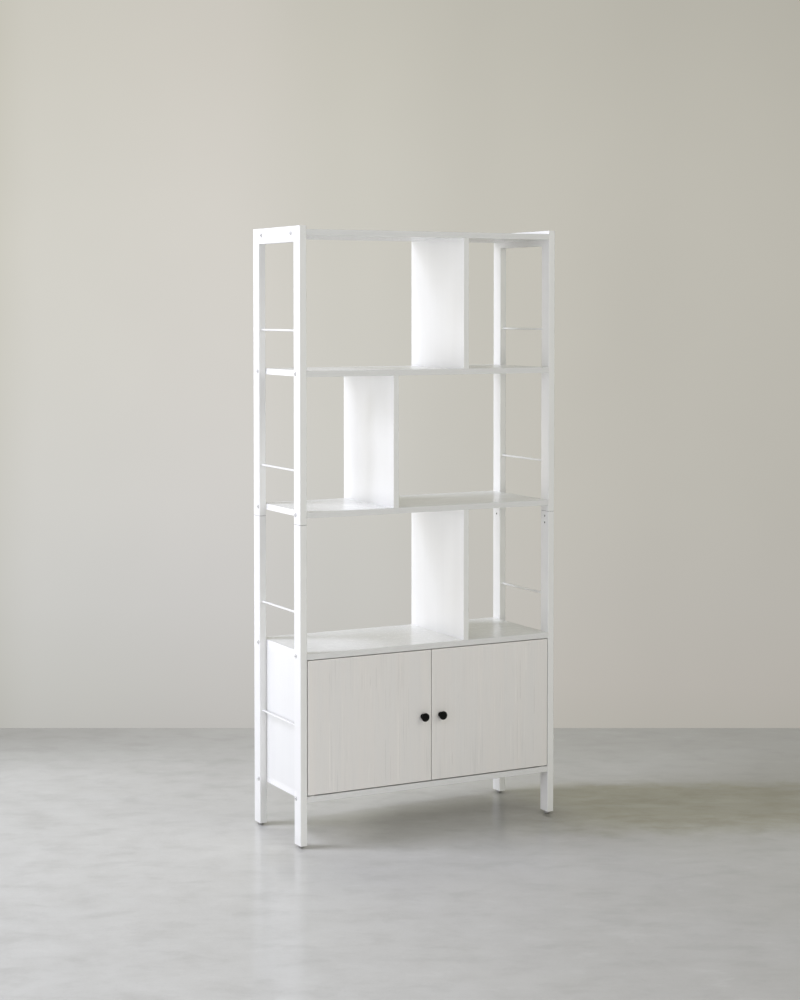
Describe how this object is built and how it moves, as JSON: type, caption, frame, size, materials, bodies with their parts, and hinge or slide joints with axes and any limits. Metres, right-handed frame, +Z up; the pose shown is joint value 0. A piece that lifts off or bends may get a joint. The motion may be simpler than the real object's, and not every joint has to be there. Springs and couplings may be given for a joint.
{
  "type": "bookcase with cabinet doors",
  "caption": "Open bookcase on slim tube side frames, with offset dividers between its shelves and a closed base cabinet behind hinged doors with round knobs.",
  "frame": {"origin": "on the floor, under the middle of the whole object's box, door knobs included; the middle of the posts' depth is 11 mm behind it", "axes": "+X to the right as seen from the front, +Y from the doors to the back, +Z up"},
  "size_m": [0.8044, 0.332, 1.674],
  "materials": {
    "frame_coat": "satin white powder coat on steel tube",
    "shelf_board": "white laminated particleboard with a faint wood grain, satin",
    "door_board": "white laminated particleboard with an embossed upright wood grain, satin",
    "back_board": "thin hardboard, painted white",
    "dowel_wood": "bare beech",
    "knob_black": "matt black coat",
    "bolt_white": "white coated bolt heads with dark sockets",
    "zinc_steel": "bright zinc plate",
    "black_steel": "black oxide screws",
    "connector_plastic": "moulded light grey nylon",
    "glide_plastic": "moulded grey polyethylene",
    "bush_plastic": "moulded white acetal",
    "magnet": "pressed ferrite magnet between pole plates"
  },
  "bodies": {
    "root": {"back_panel": "back_board", "back_panel_screws": "zinc_steel", "cabinet_bottom": "shelf_board", "cabinet_bottom_bolts": "bolt_white", "cabinet_top": "shelf_board", "cabinet_top_bolts": "bolt_white", "catch_magnets": "magnet", "catch_screws": "zinc_steel", "connector_screws": "black_steel", "divider_dowels": "dowel_wood", "foot_glides": "glide_plastic", "left_lower_front_post": "frame_coat", "left_lower_rear_post": "frame_coat", "left_side_panel": "shelf_board", "left_side_rods": "frame_coat", "left_top_rail": "frame_coat", "left_upper_front_post": "frame_coat", "left_upper_rear_post": "frame_coat", "lower_divider": "shelf_board", "magnetic_catches": "bush_plastic", "middle_divider": "shelf_board", "middle_shelf": "shelf_board", "middle_shelf_bolts": "bolt_white", "pivot_bushes": "bush_plastic", "post_connectors": "connector_plastic", "right_lower_front_post": "frame_coat", "right_lower_rear_post": "frame_coat", "right_side_panel": "shelf_board", "right_side_rods": "frame_coat", "right_top_rail": "frame_coat", "right_upper_front_post": "frame_coat", "right_upper_rear_post": "frame_coat", "shelf_inserts": "zinc_steel", "side_panel_dowels": "dowel_wood", "top_divider": "shelf_board", "top_panel": "shelf_board", "top_panel_bolts": "bolt_white", "upper_shelf": "shelf_board", "upper_shelf_bolts": "bolt_white"},
    "left_door": {"left_door": "door_board", "left_door_pins": "zinc_steel", "left_knob": "knob_black", "left_knob_screw": "zinc_steel", "left_strike_plate": "zinc_steel", "left_strike_screws": "zinc_steel"},
    "right_door": {"right_door": "door_board", "right_door_pins": "zinc_steel", "right_knob": "knob_black", "right_knob_screw": "zinc_steel", "right_strike_plate": "zinc_steel", "right_strike_screws": "zinc_steel"}
  },
  "joints": [
    {"name": "left_door_hinge", "type": "hinge", "parent": "root", "child": "left_door", "pos_m": [-0.3625, -0.136, 0.3257], "axis": [0, 0, -1], "range_deg": [0, 120]},
    {"name": "right_door_hinge", "type": "hinge", "parent": "root", "child": "right_door", "pos_m": [0.3625, -0.136, 0.3257], "axis": [0, 0, 1], "range_deg": [0, 120]}
  ]
}
